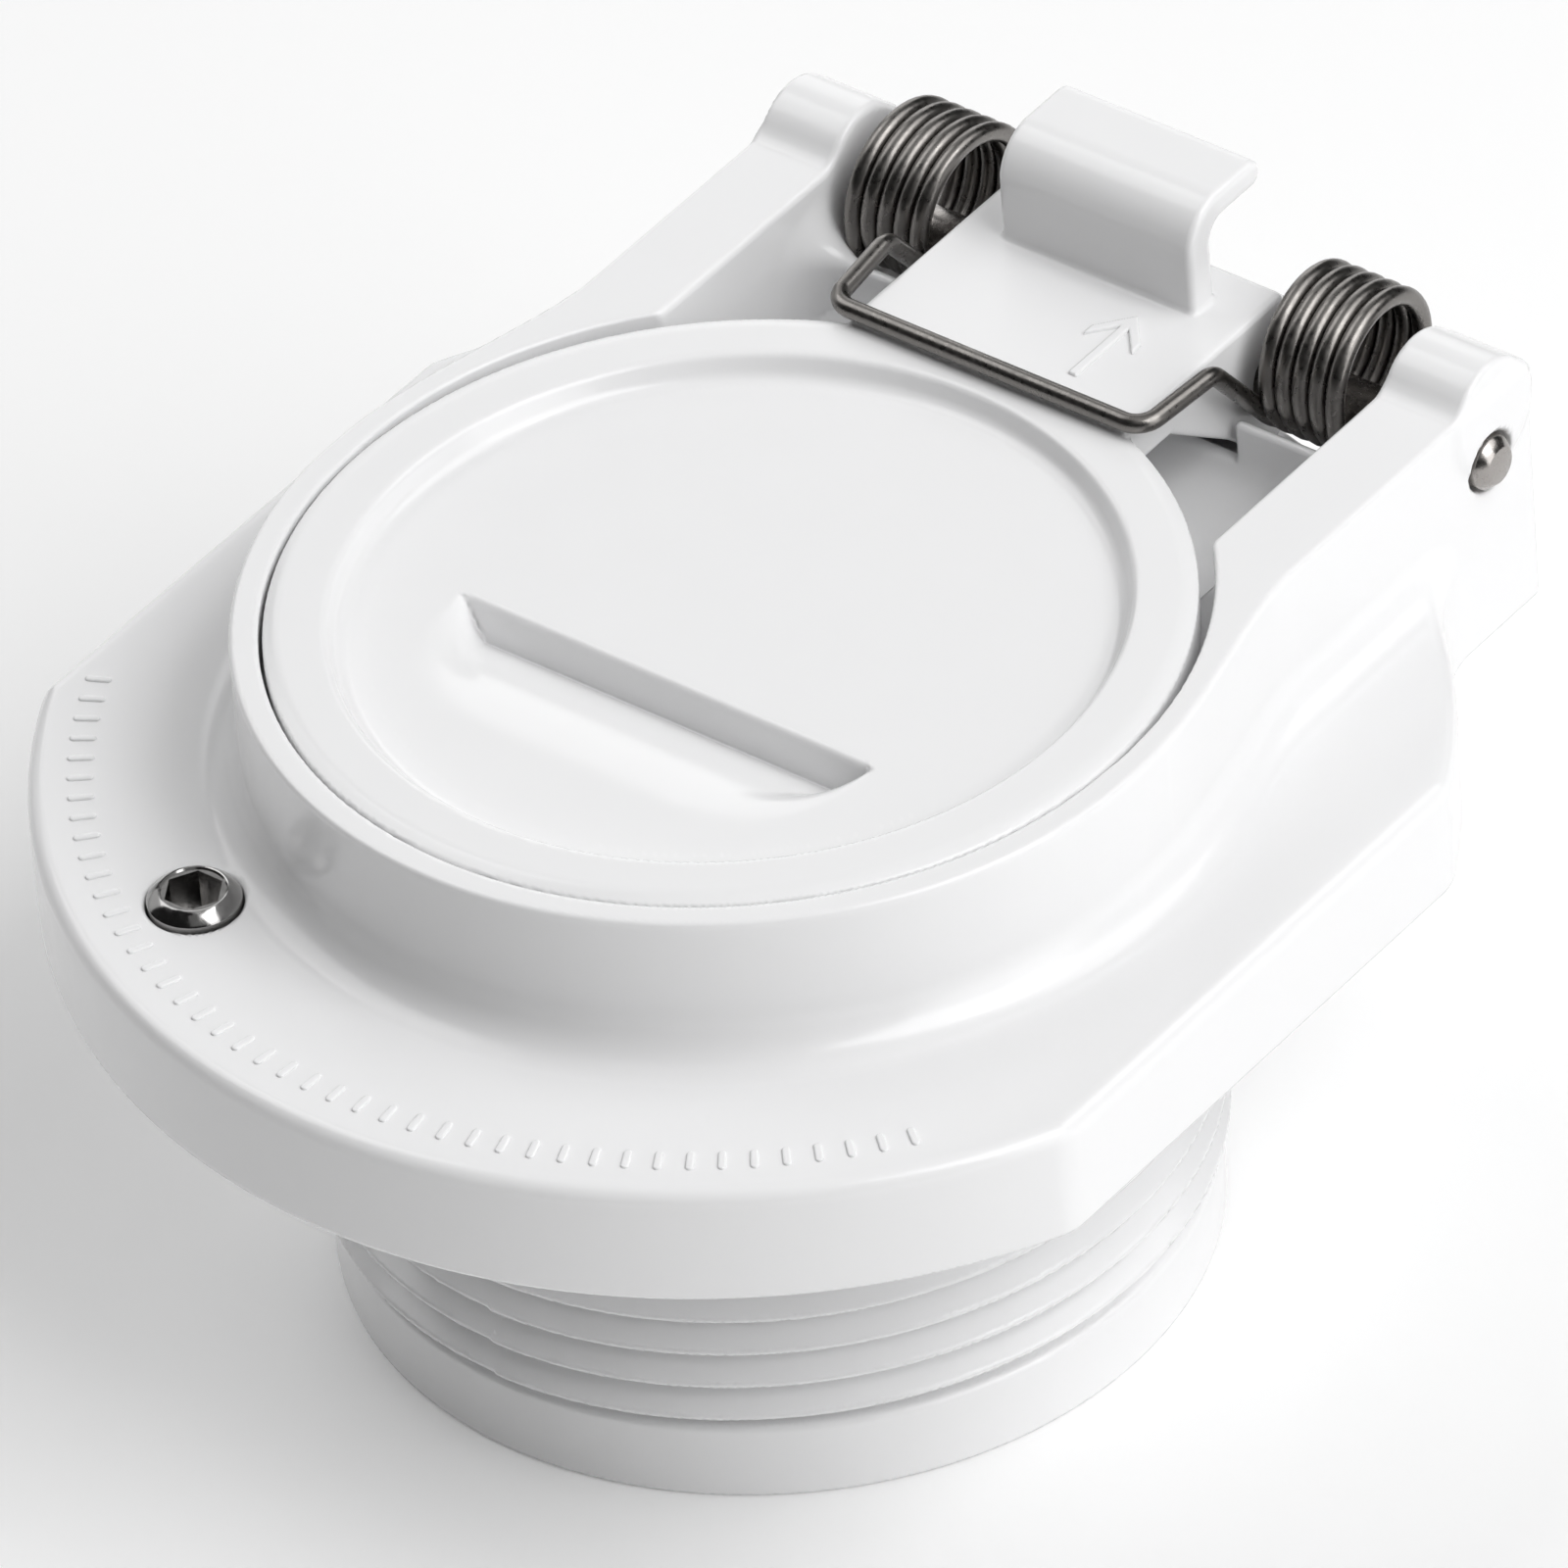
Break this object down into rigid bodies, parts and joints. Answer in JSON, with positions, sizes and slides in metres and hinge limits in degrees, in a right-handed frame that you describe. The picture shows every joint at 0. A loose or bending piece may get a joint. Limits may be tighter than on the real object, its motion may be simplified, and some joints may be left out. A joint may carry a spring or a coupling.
{
  "type": "spring flap wall fitting",
  "caption": "Threaded pool-wall suction fitting with a flange, a sprung round flap on a hinge pin with a thumb lever, and a locking set screw.",
  "frame": {"origin": "on the thread axis, in the plane of the flange's underside, which seals against the wall", "axes": "+Z along the thread axis and out of the wall, +Y towards the hinge, +X along the hinge pin"},
  "size_m": [0.0668, 0.0782, 0.0474],
  "materials": {
    "housing_plastic": "moulded white plastic, soft gloss",
    "flap_plastic": "moulded white plastic, soft gloss",
    "pin_steel": "turned stainless steel",
    "spring_steel": "drawn stainless spring wire",
    "screw_steel": "stainless steel"
  },
  "bodies": {
    "housing": {"housing": "housing_plastic", "hinge_pin": "pin_steel", "spring_coil_left": "spring_steel", "spring_coil_right": "spring_steel"},
    "flap": {"flap": "flap_plastic", "spring_loop": "spring_steel"},
    "set_screw": {"set_screw": "screw_steel"}
  },
  "joints": [
    {"name": "flap_hinge", "type": "hinge", "parent": "housing", "child": "flap", "pos_m": [0, 0.03495, 0.0114], "axis": [-1, 0, 0], "range_deg": [0, 100], "stiffness_Nm_per_rad": 0.05, "springref_deg": -45.84},
    {"name": "set_screw_travel", "type": "slide", "parent": "housing", "child": "set_screw", "axis": [0, 0, 1], "range_m": [-0.0008, 0.002]}
  ]
}
